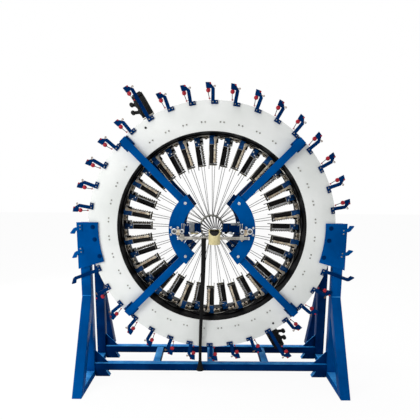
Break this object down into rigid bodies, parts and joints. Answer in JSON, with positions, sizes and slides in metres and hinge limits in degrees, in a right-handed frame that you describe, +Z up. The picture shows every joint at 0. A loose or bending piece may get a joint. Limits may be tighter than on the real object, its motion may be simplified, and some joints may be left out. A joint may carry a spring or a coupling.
{
  "type": "radial braiding machine",
  "caption": "Upright ring of track segments with inward bobbin carriers, guide hooks on its rim and a forming ring at its centre, held by a welded stand.",
  "frame": {"origin": "on the floor, under the ring's centre", "axes": "+X to the right seen from the front, +Y to the back along the ring's axis, +Z up"},
  "size_m": [3.0371, 1.6, 3.134],
  "materials": {
    "white_paint": "satin",
    "blue_paint": "gloss",
    "black_steel": "satin",
    "motor_black": "satin",
    "bright_steel": "polished",
    "grey_steel": "brushed",
    "cream_plastic": "satin",
    "black_braid": "matte"
  },
  "bodies": {
    "root": {"braided_sleeve": "black_braid", "cross_rail": "bright_steel", "cross_tube_left": "blue_paint", "cross_tube_middle": "blue_paint", "cross_tube_right": "blue_paint", "drive_motor_lower": "motor_black", "drive_motor_upper": "motor_black", "foot_beam_left": "blue_paint", "foot_beam_right": "blue_paint", "forming_ring": "grey_steel", "front_arm_lower_left": "blue_paint", "front_arm_lower_right": "blue_paint", "front_arm_upper_left": "blue_paint", "front_arm_upper_right": "blue_paint", "front_beam": "blue_paint", "front_brace_left": "blue_paint", "front_brace_right": "blue_paint", "front_plate_bottom": "white_paint", "front_plate_left": "white_paint", "front_plate_right": "white_paint", "front_plate_top": "white_paint", "front_post_left": "blue_paint", "front_post_right": "blue_paint", "front_yoke_left": "blue_paint", "front_yoke_right": "blue_paint", "guide_bush": "cream_plastic", "rear_arm_lower_left": "blue_paint", "rear_arm_lower_right": "blue_paint", "rear_arm_upper_left": "blue_paint", "rear_arm_upper_right": "blue_paint", "rear_beam": "blue_paint", "rear_brace_left": "blue_paint", "rear_brace_right": "blue_paint", "rear_plate_lower": "white_paint", "rear_plate_upper": "white_paint", "rear_post_left": "blue_paint", "rear_post_right": "blue_paint", "rear_yoke_left": "blue_paint", "rear_yoke_right": "blue_paint", "ring_bar_left": "blue_paint", "ring_bar_right": "blue_paint", "slide_tube_left": "bright_steel", "slide_tube_right": "bright_steel", "track_segment_1": "black_steel", "track_segment_2": "black_steel", "track_segment_3": "black_steel", "track_segment_4": "black_steel", "track_segment_5": "black_steel", "track_segment_6": "black_steel"}
  },
  "joints": []
}
